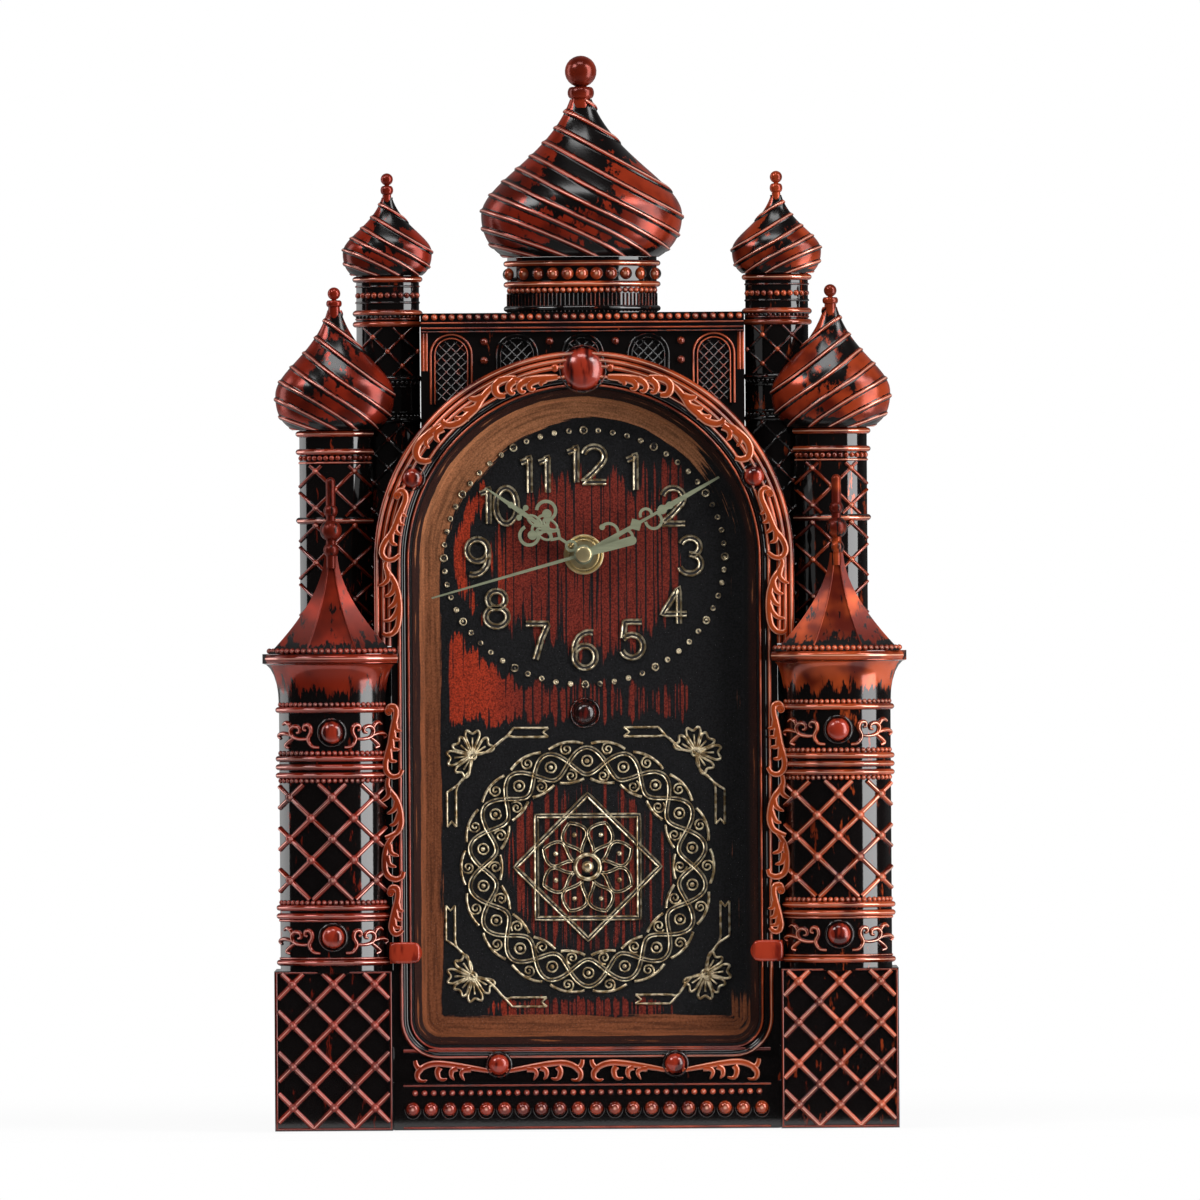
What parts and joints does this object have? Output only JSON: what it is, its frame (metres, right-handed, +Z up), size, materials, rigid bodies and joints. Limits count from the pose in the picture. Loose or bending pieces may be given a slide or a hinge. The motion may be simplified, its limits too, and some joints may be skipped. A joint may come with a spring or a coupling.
{
  "type": "islamic wall clock",
  "caption": "Wall clock moulded as a palace front with onion domes and flanking towers round an arched dial window, driven by a quartz movement.",
  "frame": {"origin": "centre of the hanger plate's hole, on the wall plane at the back of the clock", "axes": "+Z up the clock, +Y into the wall, +X to the right as seen from the front"},
  "size_m": [0.2704, 0.0519, 0.451],
  "materials": {
    "lacquer": "black lacquer with dry-brushed copper red on the raised work",
    "dome_copper": "dry-brushed copper red over black lacquer",
    "ruby": "glossy copper red",
    "dial": "matt charcoal with brushed brick-red strokes and gold relief",
    "lens": "clear sheet",
    "hand_metal": "satin olive brass",
    "brass": "polished",
    "steel": "plated",
    "black_plastic": "moulded",
    "white_plastic": "moulded",
    "board": "solder mask",
    "winding": "enamelled wire",
    "cell": "plain sleeve",
    "seal": "matt"
  },
  "bodies": {
    "case": {"front_case": "lacquer", "left_tower": "lacquer", "right_tower": "lacquer", "main_drum": "lacquer", "main_dome": "dome_copper", "left_side_dome": "dome_copper", "right_side_dome": "dome_copper", "left_rear_dome": "dome_copper", "right_rear_dome": "dome_copper", "left_spire": "dome_copper", "right_spire": "dome_copper", "dial_pan": "dial", "window_lens": "lens", "lens_clips": "ruby", "keystone_boss": "ruby", "dial_stud": "ruby", "hanger_plate": "steel", "hanger_screws": "steel", "pan_screws": "steel", "tower_screws": "steel", "movement_case": "black_plastic", "movement_cover": "black_plastic", "circuit_board": "board", "coil": "winding", "stator": "steel", "dry_cell": "cell", "cell_contacts": "steel", "seal_ring": "seal", "dial_washer": "brass", "bush_nut": "brass"},
    "rotor": {"rotor": "steel"},
    "intermediate": {"intermediate_wheel": "white_plastic"},
    "second": {"second_wheel": "white_plastic", "second_hand": "hand_metal"},
    "third": {"third_wheel": "white_plastic"},
    "minute": {"minute_wheel": "white_plastic", "minute_hand": "hand_metal"},
    "motion": {"motion_wheel": "white_plastic"},
    "hour": {"hour_wheel": "white_plastic", "hour_hand": "hand_metal"},
    "knob": {"setting_knob": "white_plastic"}
  },
  "joints": [
    {"name": "second_spin", "type": "hinge", "parent": "case", "child": "second", "pos_m": [0, -0.02, -0.09], "axis": [0, 1, 0], "continuous": true},
    {"name": "minute_spin", "type": "hinge", "parent": "case", "child": "minute", "pos_m": [0, -0.02, -0.09], "axis": [0, 1, 0], "continuous": true},
    {"name": "hour_spin", "type": "hinge", "parent": "case", "child": "hour", "pos_m": [0, -0.02, -0.09], "axis": [0, 1, 0], "continuous": true},
    {"name": "third_spin", "type": "hinge", "parent": "case", "child": "third", "pos_m": [-0.00787, -0.012, -0.08062], "axis": [0, 1, 0], "continuous": true},
    {"name": "intermediate_spin", "type": "hinge", "parent": "case", "child": "intermediate", "pos_m": [0.0036, -0.009, -0.08376], "axis": [0, 1, 0], "continuous": true},
    {"name": "rotor_spin", "type": "hinge", "parent": "case", "child": "rotor", "pos_m": [0.01018, -0.007, -0.08137], "axis": [0, 1, 0], "continuous": true},
    {"name": "motion_spin", "type": "hinge", "parent": "case", "child": "motion", "pos_m": [-0.01, -0.015, -0.09], "axis": [0, 1, 0], "continuous": true},
    {"name": "knob_spin", "type": "hinge", "parent": "case", "child": "knob", "pos_m": [-0.02057, -0.008, -0.09385], "axis": [0, 1, 0], "continuous": true}
  ],
  "couplings": [
    {"joint": "minute_spin", "follows": "second_spin", "ratio": 0.016667},
    {"joint": "hour_spin", "follows": "second_spin", "ratio": 0.0013889},
    {"joint": "rotor_spin", "follows": "second_spin", "ratio": 30},
    {"joint": "intermediate_spin", "follows": "second_spin", "ratio": -5},
    {"joint": "third_spin", "follows": "second_spin", "ratio": -0.13333},
    {"joint": "motion_spin", "follows": "second_spin", "ratio": -0.0055556},
    {"joint": "knob_spin", "follows": "second_spin", "ratio": 0.011111}
  ]
}
